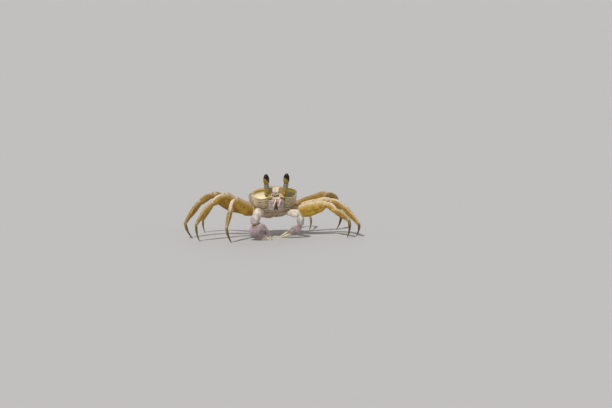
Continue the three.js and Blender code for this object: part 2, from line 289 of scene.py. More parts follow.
def limb(
    start, end, up, depth, width=None, lift=0, scale=1, edge=1, nose=0.12, tail=0.12,
    sides=48, rows=56, onward=None, relief=None, cup=1.3, tilt=0.6,
):
    """One shell segment as rings from start to end.

    Its depth lies along up and its width across that; a width that isn't given is the depth.
    Both are shapes for curve(), in units of scale, and so is lift, unless it is a number: then
    it is the height of an arch. With onward, the heading of the next segment, the far end is an
    open cup whose rim leans towards that heading. relief(t, angle, length) is added to the
    radius. Marks: along (0 to 1), crest (1 on the upper edge, -1 on the lower) and cup (1 inside).
    """
    start, end, up = (np.array(v, float) for v in (start, end, up))
    width = depth if width is None else width
    length = np.linalg.norm(end - start)
    axis = (end - start) / length
    tall = unit(up - axis * np.dot(up, axis))
    across = np.cross(axis, tall)
    even = np.linspace(0, 1, rows)
    t = 0.45 * even + 0.55 * (1 - np.cos(math.pi * even)) / 2  # closer rings at the ends
    t = np.clip(t, 0.0008, 0.9992)[:, None]
    angle = np.linspace(0, math.tau, sides, endpoint=False)[None]
    cos = np.cos(angle)
    size = rounded(t, nose, tail if onward is None else 1e-6)
    if onward is not None:
        size = size * (1 - 0.15 * ramp(t, 0.88, 1) ** 2)
    raised = relief(t, angle, length) if relief else 0
    raised = raised * np.minimum(1, size * 1.2)
    high = (size * curve(depth, scale)(t) / 2 + raised) * cos
    wide = (size * curve(width, scale)(t) / 2 + raised * 0.8) * bent(np.sin(angle), edge)
    side_step = high[..., None] * tall + wide[..., None] * across
    rise = curve(lift, scale)(t) * (np.sin(math.pi * t) if np.isscalar(lift) else 1)
    grid = start + axis * t[..., None] * length + tall * rise[..., None] + side_step
    along, crest, inside = np.broadcast_arrays(t, cos, 0)
    if onward is not None:
        onward = unit(onward)
        turn = onward - axis * np.dot(onward, axis)
        lean = tilt * np.tan(math.acos(np.clip(np.dot(onward, axis), -1, 1)) / 2)
        shift = -lean * (side_step @ unit(turn)) * ramp(t, 0.55, 1)
        grid = grid + axis * shift[..., None]
        rim, heart = grid[-1], grid[-1].mean(0)
        extra = np.stack([heart + (rim - heart) * k + axis * back * cup for k, back, _ in CUP_RINGS])
        deep = np.broadcast_to([[value] for *_, value in CUP_RINGS], extra.shape[:2])
        grid = np.concatenate([grid, extra])
        along = np.concatenate([along, np.ones_like(deep)])
        crest = np.concatenate([crest, cos * np.ones_like(deep)])
        inside = np.concatenate([inside, deep])
    return surface(grid, dict(along=along, crest=crest, cup=inside))


def cone(root, tip, radius):
    """A small blunt tooth or tubercle."""
    ends = (2 * radius, 0.5 * radius)
    return limb(root, tip, (0.31, 0.2, 1), ends, nose=0.1, tail=0.35, sides=8, rows=6)


# ---------------- bristles
# Roots are dicts of points, ways, lengths and spots: their places (turn and share along) on a limb.

LEG_HAIRS = {  # count, length, how much they stand up, first and last share along, lowest |crest|
    "merus": (150, 0.75, 0.45, 0.35, 0.98, 0.93),
    "carpus": (70, 0.8, 0.5, 0.2, 0.97, 0.6),
    "propodus": (330, 1.35, 0.5, 0.12, 0.97, 0.5),
    "dactyl": (200, 0.85, 0.4, 0.08, 0.8, 0.3),
}
ARM_HAIRS = (70, 0.8, 0.5, 0.35, 0.85, 0.5)
MOUTH_HAIRS = (150, 0.7, 0.5, 0.3, 0.97, 0.9)
HAIR_THICK, HAIR_DROOP = 0.1, -0.12
BOX_MARGIN = 0.02  # hairs that come closer to the box of the solids are left out
HAIR_SPOTS = (  # places in the map of a hair's seven points, as offsets from its root's place
    (0, 0), (0.0015, -0.0005), (0.003, 0),
    (0, 0.0015), (0.0015, 0.001), (0.003, 0.0015), (0.0015, 0.003),
)
random = np.random.default_rng(11)


def hair_roots(form, start, end, habit, size=1):
    count, length, stand, first, last, edge = habit
    along, crest, cup = (form["marks"][k] for k in ("along", "crest", "cup"))
    able = np.flatnonzero((along > first) & (along < last) & (np.abs(crest) >= edge) & (cup == 0))
    chosen = random.choice(able, count)
    points, axis = form["points"][chosen], unit(np.subtract(end, start))
    radial = unit(points - start - axis * ((points - start) @ axis)[:, None])
    ways = unit(radial * stand + axis + 0.25 * random.normal(size=points.shape))
    lengths = size * length * random.uniform(0.6, 1.2, count)
    turn = 0.5 + 0.5 * crest[chosen]
    return dict(points=points, ways=ways, lengths=lengths, spots=np.stack([turn, along[chosen]], -1))


def hair_points(root, way, reach):
    """The seven points of each bent spike: two rings of three, and the tip."""
    side = unit(np.cross(way, (0.3, 0.5, 0.8)))
    other = np.cross(way, side)
    droop = HAIR_DROOP * reach * UPRIGHT
    points = []
    for share, wide in ((-0.12, 1), (0.5, 0.75)):
        heart = root + way * reach * share + droop * share**2
        for turn in (0, math.tau / 3, 2 * math.tau / 3):
            ring = side * math.cos(turn) + other * math.sin(turn)
            points.append(heart + ring * (HAIR_THICK / 2) * wide)
    return np.stack(points + [root + way * reach + droop], 1)


def bristles(name, groups, material):
    """One mesh of thin spikes; each lies in a small patch of the OFBake map."""
    tiles = math.ceil(math.sqrt(len(groups)))
    low, high = (np.array(c) * 1000 + STANCE_CENTRE for c in cad_box)
    points, patches = [], []
    for number, group in enumerate(groups):
        spikes = hair_points(group["points"], group["ways"], group["lengths"][:, None])
        inside = np.all((spikes > low + BOX_MARGIN) & (spikes < high - BOX_MARGIN), axis=(1, 2))
        points.append(spikes[inside])
        corner = np.array([number % tiles, number // tiles]) / tiles
        patch = corner + (0.04 + 0.92 * group["spots"][inside]) / tiles
        patches.append(patch[:, None] + HAIR_SPOTS)
    points, patches = np.concatenate(points), np.concatenate(patches).reshape(-1, 2)
    first = 7 * np.arange(len(points))[:, None, None]
    quads = (first + [[0, 1, 4, 3], [1, 2, 5, 4], [2, 0, 3, 5]]).reshape(-1, 4)
    tris = (first + [[0, 2, 1], [3, 4, 6], [4, 5, 6], [5, 3, 6]]).reshape(-1, 3)
    form = dict(points=points.reshape(-1, 3), quads=quads, tris=tris, marks={})
    mesh = piece(name, form, material, "").data
    corners = np.zeros(len(mesh.loops), np.int32)
    mesh.loops.foreach_get("vertex_index", corners)
    uvs = patches[corners].astype(np.float32).reshape(-1)
    mesh.uv_layers.new(name="OFBake").data.foreach_set("uv", uvs)


# ---------------- walking legs


def heading(side, turn, pitch):
    turn, pitch = math.radians(turn), math.radians(pitch)
    level = math.cos(pitch)
    return np.array([side * math.cos(turn) * level, -math.sin(turn) * level, math.sin(pitch)])


def leg_joints(side, hip, lengths, pose):
    """The five joints of a leg, hip to toe; the dactyl slopes down to just under the floor."""
    joints = list(sided(side, hip))
    for length, way in zip(lengths, pose[:3]):
        joints.append(joints[-1] + heading(side, *way) * length)
    drop = min(1, (joints[-1][2] + FOOT_SINK) / lengths[3])
    pitch = -math.degrees(math.asin(drop))
    joints.append(joints[-1] + heading(side, pose[3], pitch) * lengths[3])
    return joints


def beads(t, length, pitch):
    """A row of round beads along a segment, from 0 to 1."""
    return np.abs(np.sin(math.pi * t * length / pitch)) ** 0.8


def rugae(t, angle, length):
    """Short ridges across a segment, broken up around it."""
    wave = t * length / 1.7 + 0.4 * np.sin(5 * angle) + 0.25 * np.sin(13 * angle + 1)
    return np.abs(np.sin(math.pi * wave)) ** 5


def merus_relief(d, t, angle, length):
    """Saw edges, cross ridges, a long hollow, and a collar that ends the basal part."""
    cos = np.cos(angle)
    ring = BASE_SEGMENT / length
    open_part = ramp(t, ring, ring + 0.08)
    saw = 0.2 * beads(t, length, 1.25) * ramp(cos, 0.94, 0.99) * open_part
    lower = 0.14 * beads(t, length, 1) * ramp(-cos, 0.9, 0.97) * open_part
    collar = 0.15 * hump((t - ring + 0.03) / 0.02) - 0.4 * hump((t - ring) / 0.012)
    hollow = -0.03 * d * hump((np.abs(cos) - 0.45) / 0.18) * ramp(t, 0.25, 0.5)
    cross = 0.07 * rugae(t, angle, length) * ramp(t, 0.95, 0.85)
    return saw + lower + collar + hollow * ramp(t, 1, 0.9) + cross


def carpus_relief(d, t, angle, length):
    cos = np.cos(angle)
    ridge = 0.035 * d * hump((cos - 0.75) / 0.12) * (0.7 + 0.3 * beads(t, length, 1))
    trough = -0.03 * d * hump((cos - 0.25) / 0.2)
    return (ridge + trough) * ramp(t, 0.1, 0.3) + 0.05 * rugae(t, angle, length)


def propodus_relief(d, t, angle, length):
    """Ribs along it and saw edges; it narrows where its soft joint goes into the dactyl."""
    ribs = 0.016 * d * (np.cos(6 * angle) - 1.6) * ramp(t, 0.1, 0.3) * ramp(t, 1, 0.9)
    saw = 0.08 * beads(t, length, 1) * ramp(np.abs(np.cos(angle)), 0.95, 0.99) * ramp(t, 0.1, 0.2)
    return ribs + saw + 0.04 * rugae(t, angle, length) - 0.42 * ramp(t, 0.6, 1)


def dactyl_relief(d, t, angle, length):
    return 0.02 * d * (np.cos(6 * angle) - 1.5) * ramp(t, 0.02, 0.2) * ramp(t, 1, 0.75)


SEGMENTS = {  # shapes in units of the depth of the merus
    "merus": dict(
        depth=[(0, 0.55), (0.1, 0.6), (0.5, 1), (0.85, 0.82), (1, 0.56)],
        width=[(0, 0.44), (0.3, 0.34), (1, 0.36)],
        lift=-0.1, edge=1.25, relief=merus_relief, rows=130, sides=64, cup=1.6,
    ),
    "carpus": dict(
        depth=[(0, 0.38), (0.6, 0.52), (1, 0.45)], width=(0.3, 0.33),
        lift=0.06, nose=0.25, relief=carpus_relief, rows=64, sides=56, cup=1.4,
    ),
    "propodus": dict(
        depth=[(0, 0.38), (0.35, 0.52), (1, 0.32)], width=[(0, 0.28), (0.4, 0.32), (1, 0.25)],
        lift=0.05, nose=0.15, relief=propodus_relief, rows=96, sides=60, cup=1,
    ),
    "dactyl": dict(
        depth=[(0, 0.26), (0.25, 0.24), (0.7, 0.14), (1, 0.06)],
        width=[(0, 0.2), (0.3, 0.2), (0.7, 0.12), (1, 0.06)],
        lift=0.12, nose=0.2, tail=0.05, relief=dactyl_relief, rows=72, sides=48,
    ),
}


def leg_segment(index, joints, shape, depth):
    start, end = joints[index], joints[index + 1]
    up = UPRIGHT
    if index == 3:
        up = UPRIGHT + unit((joints[3] - joints[0]) * (1, 1, 0))
    if index > 0:
        start = start - unit(end - start) * JOINT_OVERLAP
    onward = joints[index + 2] - end if index < 3 else None
    relief = partial(shape["relief"], depth)
    return limb(start, end, up, scale=depth, onward=onward, **{**shape, "relief": relief})


def make_legs(materials):
    """Makes the legs, and returns the roots of their bristles."""
    roots = []
    for name, side in SIDES:
        for number, ((hip, lengths, depth), pose) in enumerate(zip(LEG_PAIRS, LEG_POSES[name]), 1):
            joints = leg_joints(side, hip, lengths, pose)
            for index, (segment, shape) in enumerate(SEGMENTS.items()):
                form = leg_segment(index, joints, shape, depth)
                look = segment + ("_back" if number > 2 and index < 3 else "")
                piece(f"leg_{name}_{number}_{segment}", form, materials[look])
                size = depth / LEG_PAIRS[0][2]
                roots.append(hair_roots(form, joints[index], joints[index + 1], LEG_HAIRS[segment], size))
    return roots


# ---------------- claws


def arm_relief(t, angle, length):
    """Three blunt edges along the arm, each with a row of teeth, and a flange at the wrist."""
    saw = 0.3 * beads(t, length, 1.4) * ramp(np.cos(3 * angle), 0.9, 0.99)
    ridge = 0.34 * np.cos(3 * angle) - 0.1
    flange = 0.3 * hump((t - 0.87) / 0.025) - 0.35 * hump((t - 0.93) / 0.02)
    return (saw + ridge + 0.12 * rugae(t, angle, length)) * ramp(t, 0.15, 0.35) * ramp(t, 1, 0.85) + flange


def wrist_relief(t, angle, length):
    corners = 0.3 * np.cos(4 * angle)
    knobs = 0.16 * beads(t, length, 1.5) * np.abs(np.sin(3.5 * angle)) ** 2
    return (corners + knobs) * ramp(t, 0.1, 0.4) * ramp(t, 1, 0.8)


def palm_relief(thick, bite, t, angle, length):
    """Rows of tubercles on the faces, beaded edges, and a cut below the movable finger."""
    cos = np.cos(angle)
    rows = beads(t, length, 1.15) * np.abs(np.sin(9 * angle)) ** 1.5
    face = 0.035 * thick * rows * ramp(t, 0.05, 0.15) * ramp(t, 0.8, 0.55)
    edges = 0.05 * thick * beads(t, length, 1.1) * ramp(np.abs(cos), 0.93, 0.985)
    cut = bite * ramp(cos, -0.1, 0.75) * ramp(t, 0.5, 0.6) * ramp(t, 1, 0.84)
    return face * ramp(np.abs(cos), 0.97, 0.8) + edges * ramp(t, 0.03, 0.1) * ramp(t, 1, 0.9) - cut


def finger_relief(t, angle, length):
    return 0.12 * beads(t, length, 1.1) * ramp(np.cos(angle), 0.9, 0.99) * ramp(t, 0.1, 0.3)


def row_of_teeth(start, end, count, height, lean, radius):
    """Teeth from start to end; each third tooth is larger."""
    forms = []
    for k in range(count):
        share = (k + 0.5) / count
        root = start * (1 - share) + end * share
        tall = height * (1 if k % 3 == 1 else 0.6) * (1 - 0.45 * share)
        forms.append(cone(root, root + lean * tall, radius * (1.1 - 0.5 * share)))
    return forms


def make_arm(claw):
    shoulder, elbow = claw["joints"][:2]
    return limb(
        shoulder, elbow, UPRIGHT, [(0, 0.7), (0.8, 1), (1, 0.8)], [(0, 0.6), (0.8, 0.9), (1, 0.8)],
        scale=claw["arm"], edge=1.15, tail=0.26, relief=arm_relief, rows=90, sides=64,
    )


def make_wrist(claw):
    """The wrist with the spine on its inner side."""
    elbow, wrist, tip = (np.array(v, float) for v in claw["joints"][1:])
    arm, inward = claw["arm"], math.copysign(1.0, -elbow[0])
    form = limb(
        elbow, elbow + (wrist - elbow) * 1.1, (0, -1, 0),
        [(0, 0.75), (0.5, 1), (1, 0.8)], [(0, 0.7), (0.5, 0.9), (1, 0.75)], scale=arm,
        nose=0.4, relief=wrist_relief, rows=64, sides=60, onward=tip - wrist, cup=1.4, tilt=0.35,
    )
    root = elbow + (wrist - elbow) * 0.62 + np.array([inward * 0.36, -0.12, 0]) * arm
    return joined([form, cone(root, root + np.array([inward * 0.17, -0.05, -0.06]) * arm, 0.1 * arm)])


def make_palm(claw):
    """The palm with its fixed finger and its teeth."""
    wrist, tip = (np.array(v, float) for v in claw["joints"][2:])
    d, thick, bite = claw["depth"], claw["thick"], claw["bite"] * claw["depth"]
    depth = curve([(0, 0.6), (0.3, 1), (0.6, 0.7), (1, 0.12)], d)
    lift = curve([(0, -0.2), (0.4, -claw["sag"]), (1, 0)], d)
    form = limb(
        wrist, tip, UPRIGHT, depth, curve([(0, 0.6), (0.35, 1), (1, 0.25)], thick), lift,
        tail=0.06, relief=partial(palm_relief, thick, bite), rows=150, sides=110,
    )
    jaw = [
        wrist + (tip - wrist) * s + UPRIGHT * (lift(s) + 0.46 * depth(s) - gape * bite)
        for s, gape in ((0.62, 1), (0.94, 0.4))
    ]
    return joined([form] + row_of_teeth(*jaw, 9, 0.075 * d, UPRIGHT, 0.032 * d))


def make_finger(claw):
    """The movable finger with its teeth."""
    wrist, tip = (np.array(v, float) for v in claw["joints"][2:])
    d, thick, arch = claw["depth"], claw["thick"], claw["arch"]
    root = wrist + (tip - wrist) * 0.5 + UPRIGHT * claw["hinge"] * d
    end = tip + UPRIGHT * 0.1 * d
    form = limb(
        root, end, UPRIGHT, (0.25 * d, 0.1 * d), (0.5 * thick, 0.22 * thick), arch * d,
        tail=0.06, relief=finger_relief, rows=72, sides=44,
    )
    edge = [
        root + (end - root) * s + UPRIGHT * d * (arch * math.sin(math.pi * s) - 0.06) for s in (0.3, 0.9)
    ]
    return joined([form] + row_of_teeth(*edge, 8, 0.05 * d, -UPRIGHT, 0.026 * d))


def make_claw(name, claw, materials):
    """Makes a claw, and returns the roots of its bristles."""
    arm = make_arm(claw)
    piece(f"claw_{name}_arm", arm, materials["arm"])
    piece(f"claw_{name}_wrist", make_wrist(claw), materials["wrist"])
    piece(f"claw_{name}_palm", make_palm(claw), materials[f"palm_{name}"])
    piece(f"claw_{name}_finger", make_finger(claw), materials[f"finger_{name}"])
    return hair_roots(arm, *claw["joints"][:2], ARM_HAIRS)


# ---------------- body
# The body's own frame has the face at -Y, the back shell up, and its middle at BODY_CENTRE.


def from_body(points):
    cos, sin = math.cos(BODY_PITCH), math.sin(BODY_PITCH)
    x, y, z = np.moveaxis(points, -1, 0)
    return np.stack([x, y * cos + z * sin, z * cos - y * sin], -1) + BODY_CENTRE


def tilted(form):
    """A form made in the body's frame, put in its place."""
    return dict(form, points=from_body(form["points"]))


FACE_BLUNT, TAIL_BLUNT = 0.17, 0.12  # shares of the shell's length over which its ends curve in
FACE_ROWS, BACK_ROWS, HALF_RING = 110, 190, 250  # how fine the skin is
half_width = curve([(0, 0.47), (0.2, 0.5), (0.6, 0.45), (1, 0.3)])
edge_height = curve([(0, 5.6), (0.3, 6), (1, 0.5)])
roof_height = curve([(0, 4.3), (0.35, 5.8), (0.75, 5), (1, 3)])
belly_depth = curve([(0, 11), (0.15, 16), (0.45, 21), (0.8, 17), (1, 6)])
vault = curve([(0, 0.75), (0.35, 2), (1, 2)])  # how square the roof is, from face to tail


def blunt(t, nose, power):
    return 1 - np.maximum(0, 1 - t / nose) ** power


def trunk_ring(t, across, sin):
    """A point of the body's skin; across runs from -1 to 1 and sin is above 0 on the back."""
    ending = rounded(t, 1e-6, TAIL_BLUNT)
    plan = np.sqrt(blunt(t, FACE_BLUNT, 2)) * ending
    above, below = blunt(t, 0.05, 3) * ending, blunt(t, 0.12, 4) * ending
    tall = np.where(sin > 0, above, below + (above - below) * ramp(sin, -0.25, 0))
    roof = roof_height(t) * np.maximum(sin, 1e-9) ** vault(t)
    up = np.where(sin > 0, roof, belly_depth(t) * bent(sin, 0.9))
    x = -SHELL_WIDTH * half_width(t) * plan * across
    return np.stack(np.broadcast_arrays(x, SHELL_LENGTH * (t - 0.5), tall * (edge_height(t) + up)), -1)


def trunk_grid():
    """The body's skin, and the share of its length at each row."""
    face = np.linspace(0.035, math.pi / 2, FACE_ROWS)
    back = np.sin(np.linspace(0, math.pi / 2, BACK_ROWS)[1:])
    t = np.concatenate([FACE_BLUNT * (1 - np.cos(face)), FACE_BLUNT + (0.9995 - FACE_BLUNT) * back])
    turn = np.linspace(0, math.pi, HALF_RING, endpoint=False)
    across = np.cos(turn)
    lower_sin = -np.sqrt(np.maximum(0, 1 - np.abs(across) ** (2 / 0.45)))
    across, sin = np.concatenate([across, -across]), np.concatenate([np.sin(turn), lower_sin])
    return trunk_ring(t[:, None], across[None], sin[None]), t[:, None]


def face_y(x):
    """How far forward the face lies at a distance from the middle line."""
    return SHELL_LENGTH * (FACE_BLUNT * (1 - dome(x / 20.2)) - 0.5)


ORBIT_CENTRE, ORBIT_HALF = (12.7, -16.4, 4.2), (7.3, 2.6, 3.9)
ORBIT_TURN = math.radians(19)


def brow_height(x):
    return 9.6 - 0.9 * (x / 20) ** 2 - 2 * np.abs(x / 20) ** 5


def brow_line(side):
    """The upper edge of an eye socket, from the rostrum to the outer tooth."""
    x = np.linspace(3.6, 20, 60)
    return np.stack([side * x, face_y(x) + 0.5, brow_height(x)], -1)


def lower_rim(side):
    """The lower edge of an eye socket."""
    x = np.linspace(5.8, 19.8, 60)
    dip = dome((x - ORBIT_CENTRE[0]) / 7.2)
    return np.stack([side * x, face_y(x) - 0.2, 4.3 - 3.9 * dip], -1)


def side_margin(side):
    """The edge between the back and a side wall."""
    t = np.linspace(0.1, 0.82, 80)
    return trunk_ring(t, np.full_like(t, -1 * side), np.full_like(t, 1e-4))


EDGES = {  # curve, push at the beads' tops, half width, distance between beads
    "brow": (brow_line, (0.1875, -0.75, 0.1875), 0.75, 1.5),
    "rim": (lower_rim, (0.125, -0.5, -0.125), 0.5, 1.1),
    "margin": (side_margin, (0.45, 0.0, 0.1125), 0.5, 0.9),
}
TOOTH = (20.2, -14.7, 6.3)  # at the outer end of the brow
LOBE, LOBE_HALF = (6.6, -17.4, 1.2), (1.5, 2.5, 1.7)
FACE_ARCH = ((1.6, 5), (3.2, 4.6), (4, 3.2), (3.7, 1.2), (2.4, -0.4), (1.6, -1.8))  # (x, z)
BELLY_SEAMS = (-8, -3.2, 1.6, 6.4, 11)


def near(points, line):
    """Distance from each point to a line of spots, and the distance run along it at that place."""
    run = np.concatenate([[0], np.cumsum(np.linalg.norm(np.diff(line, axis=0), axis=1))])
    best, place = np.full(points.shape[:-1], 1e9), np.zeros(points.shape[:-1])
    for spot, at in zip(line, run):
        gap = np.sum((points - spot) ** 2, -1)
        place = np.where(gap < best, at, place)
        best = np.minimum(best, gap)
    return np.sqrt(best), place


def grid_normals(grid):
    normal = unit(np.cross(np.gradient(grid, axis=0), np.roll(grid, -1, 1) - np.roll(grid, 1, 1)))
    turned = np.sum(normal * (grid - grid.mean((0, 1))), -1).sum() < 0
    return -normal if turned else normal


class Skin:
    """The body's skin while it is sculpted: p moves, and x, y and z stay where they were."""

    def __init__(self):
        self.p, self.t = trunk_grid()
        self.place = self.p.copy()
        self.x, self.y, self.z = np.moveaxis(self.place, -1, 0)
        self.far = np.abs(self.x)
        self.front = ramp(self.y, -13, -15)
        self.marks = {}

    def move(self, amount, way):
        self.p += amount[..., None] * way

    def mark(self, name, value):
        self.marks[name] = np.maximum(self.marks.get(name, 0), value)

    def middle(self):
        """The beak between the eyes, and the hollow below it for the folded feelers."""
        width = 3 + 0.28 * np.maximum(0, self.z - 5.2)
        beak = ramp(self.far, width + 0.3, width - 1.3) * ramp(self.z, 4.5, 6.2) * self.front
        recess = ramp(self.far, 5.6, 4.4) * ramp(self.z, 5.8, 5) * ramp(self.z, -2.6, -1.4)
        recess = recess * self.front * (1 - beak)
        self.move(1.2 * recess - (0.95 - 0.3 * hump(self.x)) * beak, (0, 1, 0))
        self.mark("beak", beak)
        self.mark("recess", recess)

    def socket(self, side):
        """The hollow for an eye; the one on the crab's left is a little deeper."""
        cos, sin = math.cos(side * ORBIT_TURN), math.sin(side * ORBIT_TURN)
        x, y, z = np.moveaxis(self.p - sided(side, ORBIT_CENTRE), -1, 0)
        flat = ((x * cos + y * sin) / ORBIT_HALF[0]) ** 2 + (z / ORBIT_HALF[2]) ** 2
        wall = (ORBIT_HALF[1] + 0.5 * side) * np.sqrt(np.maximum(0, 1 - flat))
        inside = (flat < 1) & (self.y < -11)
        self.move(np.where(inside, np.maximum(0, wall - (y * cos - x * sin)), 0), (-sin, cos, 0))
        self.mark("socket", np.where(inside, ramp(flat, 1, 0.86), 0))

    def edge(self, name, side):
        """A beaded edge."""
        line, push, wide, pitch = EDGES[name]
        gap, run = near(self.place, line(side))
        bead = 0.72 + 0.28 * np.cos(math.tau * run / pitch)
        self.move(hump(gap / wide) * bead, np.multiply(push, (side, 1, 1)))
        self.mark(name, hump(gap / (1.5 * wide)))
        if name == "rim":
            self.streaks(side, gap)

    def streaks(self, side, gap):
        """The wavy lines of a cheek, which follow the lower rim of the socket."""
        cheek = self.front * ramp(side * self.x, 5.8, 7.6) * ramp(self.z, 0.4, -1)
        wavy = gap + 1.2 * cloud(self.place, 2.2, 5) + 0.3 * cloud(self.place, 0.8, 6)
        self.mark("streak", cheek * (0.5 + 0.5 * np.cos(math.tau * wavy / 1.3)))

    def knobs(self, side):
        """The tooth at the end of a brow, and the lobe at the inner end of the socket."""
        reach = np.linalg.norm(self.place - sided(side, TOOTH), axis=-1)
        self.move(np.maximum(0, 1 - reach / 2.6) ** 1.5, (side * 0.7, -2, 0.5))
        swell = dome(np.linalg.norm((self.place - sided(side, LOBE)) / LOBE_HALF, axis=-1))
        self.move(-1.5 * swell, (0, 1, 0))
        self.mark("lobe", ramp(swell, 0, 0.5))

    def arch(self, side):
        """The ridge that frames one half of the face."""
        knots = np.multiply(FACE_ARCH, (side, 1))
        line = [a + (b - a) * np.linspace(0, 1, 8)[:, None] for a, b in zip(knots, knots[1:])]
        gap, _ = near(self.place[..., [0, 2]], np.concatenate(line))
        ridge = hump(gap / 0.6) * self.front
        self.move(-0.75 * ridge, (0, 1, 0))
        self.mark("arch", ridge)

    def face(self):
        """Slits and bar of the face, and the marks for its tints, for the shade painted in the crab's left
        socket and in the slits, and for the highlight painted on the crab's left brow.
        """
        x, z, far = self.x, self.z, self.far
        # painted shade: most of the crab's left socket, above its lower edge, is tinted darker
        self.mark("dim", self.marks["socket"] * ramp(x, 0, 1) * ramp(z, 0.4, 1.6))
        below = brow_height(x) - z
        gold = ramp(below, 2.6 + 0.9 * (x > 0), 1.8) * ramp(below, -0.8, -0.2)
        self.mark("gold", self.front * gold * ramp(far, 3.8, 5.6))
        # painted highlight: the gold under the outer part of the crab's left brow is lightened
        self.mark("gleam", self.marks["gold"] * ramp(x, 9, 14))
        # painted shade: the slits of the face, which are also sunk in, are painted near-black
        pit = dome((z - 1.9 - 0.28 * far**1.3) / 0.5) * ramp(far, 3.2, 2.6) * ramp(far, 0.1, 0.4)
        self.mark("pit", pit * self.front)
        self.mark("jaw", self.front * ramp(far, 2.4, 1.6) * ramp(z, -0.9, -1.4) * ramp(z, -5.6, -4.4))
        self.mark("face", self.front * ramp(z, 8, 5))
        bar = hump((z + 0.4) / 0.55) * ramp(far, 5.6, 4.6) * self.front
        self.move(self.marks["pit"] - 0.8 * bar, (0, 1, 0))

    def grooves(self):
        """The grooves of the back: two along its middle, one over each gill, one across."""
        total = np.zeros_like(self.x)
        above = self.place * (1, 1, 0)
        s = np.linspace(0, 1, 50)
        for side in (-1, 1):
            lengthwise = np.stack([side * (3.6 + 3.2 * (2 * s - 1) ** 2), -9 + 18 * s, 0 * s], -1)
            gill = np.stack([side * (8 + 9.5 * s), -3.5 + 4.5 * np.sin(2.6 * s), 0 * s], -1)
            total += 0.5 * hump(near(above, lengthwise)[0] / 0.9) + 0.3 * hump(near(above, gill)[0] / 0.8)
        cross = 0.45 * hump((self.y - 1) / 0.9) * ramp(self.far, 4.2, 3.4)
        total = np.maximum(total, cross) * self.marks["upper"] * (0.4 + 0.6 * cloud(self.place, 2.0, 8))
        self.move(-total, (0, 0, 1))
        self.mark("groove", total)

    def texture(self):
        """Granules over all the shell, the relief of the streaks, and the seams of the belly."""
        normal = grid_normals(self.p)
        bare = 1.0 - np.clip(sum(self.marks[name] for name in ("socket", "pit", "recess")), 0.0, 1.0)
        rough = grains(self.place, 1.05, 3) * (0.35 + 0.65 * ramp(self.far, 9, 17)) * bare
        self.move((0.13 * rough + 0.18 * self.marks["streak"]) * ramp(self.t, 0.99, 0.93), normal)
        lower = ramp(self.z, SHELL_SEAM, SHELL_SEAM - 1)
        plates = sum(hump((self.y - at) / 0.35) for at in BELLY_SEAMS)
        self.move(-0.45 * plates * lower * ramp(self.far, 2, 4), normal)
        self.mark("seam", np.clip(plates, 0, 1) * lower)


def sculpt_body():
    """The body's skin, and the marks for its colours and for its painted shade and highlight."""
    skin = Skin()
    upper = ramp(skin.z, 4.5, 6.5) * ramp(skin.y, -16.5, -14.5)
    skin.mark("upper", upper)
    skin.mark("height", np.clip((skin.z + 16.0) / 28.0, 0.0, 1.0))
    skin.mark("flank", ramp(skin.far, 15, 19) * (1 - upper))
    skin.middle()
    for side in (-1, 1):
        skin.socket(side)
        for name in EDGES:
            skin.edge(name, side)
        skin.knobs(side)
        skin.arch(side)
    skin.face()
    skin.grooves()
    skin.texture()
    return skin.p, skin.marks


def clipped(grid, marks, low, high):
    """The part of the body between two heights, closed along them."""
    cut = grid.copy()
    cut[..., 2] = np.clip(cut[..., 2], low, high)
    over = np.abs(grid[..., 2] - cut[..., 2])[..., None]
    groove = 0.03 * np.exp(-np.abs(grid[..., 2:] - SHELL_SEAM) / 0.35)
    squeeze = 1 - 0.3 * np.clip(over / 6, 0, 1) - groove
    cut[..., :2] = (cut[..., :2] - (0, -1)) * squeeze + (0, -1)
    return tilted(surface(cut, marks))


def tail_relief(t, angle, length):
    """The seams between the six segments of the tail."""
    return -0.35 * sum(hump((t - k / 6) / 0.012) for k in range(1, 6))


def make_body(materials):
    grid, marks = sculpt_body()
    shell = clipped(grid, marks, SHELL_SEAM, 99)
    breast = clipped(grid, marks, -99, SHELL_SEAM + 0.3)
    tail = limb(
        (0, -6, -14.4), (0, 11.5, -15.2), (1, 0, 0), [(0, 3), (0.5, 6.5), (1, 9)], 2.6,
        relief=tail_relief, rows=90, sides=60,
    )
    piece("carapace", shell, materials["carapace"])
    piece("breastplate", breast, materials["breast"])
    piece("tail_flap", tilted(tail), materials["breast"])


# ---------------- mouth, feelers and eyes

PALP_INWARD = {"right": (0.9, 1.4, 2.3, 3.2), "left": (3.7, 3.0, 2.3, 1.7)}
PALP_FORWARD, PALP_UP = (-19.6, -19.9, -19.5, -18.8), (-1.2, -2.6, -4.8, -6.9)


def plate_relief(t, angle, length):
    """A step across the plate, a furrow along it, and beaded edges."""
    step = -0.45 * hump((t - 0.36) / 0.018)
    furrow = -0.3 * hump((np.cos(angle) - 0.25) / 0.18) * ramp(t, 0.42, 0.5) * ramp(t, 0.95, 0.85)
    edge = 0.12 * beads(t, length, 0.8) * ramp(np.abs(np.cos(angle)), 0.94, 0.99)
    return step + furrow + edge


def make_palps(name, side):
    """The jointed feeler on a mouth plate, in overlapping parts."""
    knots = sided(side, *zip(PALP_INWARD[name], PALP_FORWARD, PALP_UP))
    parts = []
    for a, b, size in zip(knots, knots[1:], (1.35, 1.2, 1)):
        part = limb(
            a * 1.3 - b * 0.3, b * 1.15 - a * 0.15, (0.1, -1, 0.2), (1, 0.8),
            [(0, 1), (0.6, 1.15), (1, 0.8)], scale=size, nose=0.22, tail=0.18, rows=24, sides=24,
        )
        parts.append(marked(part, "palp"))
    return parts


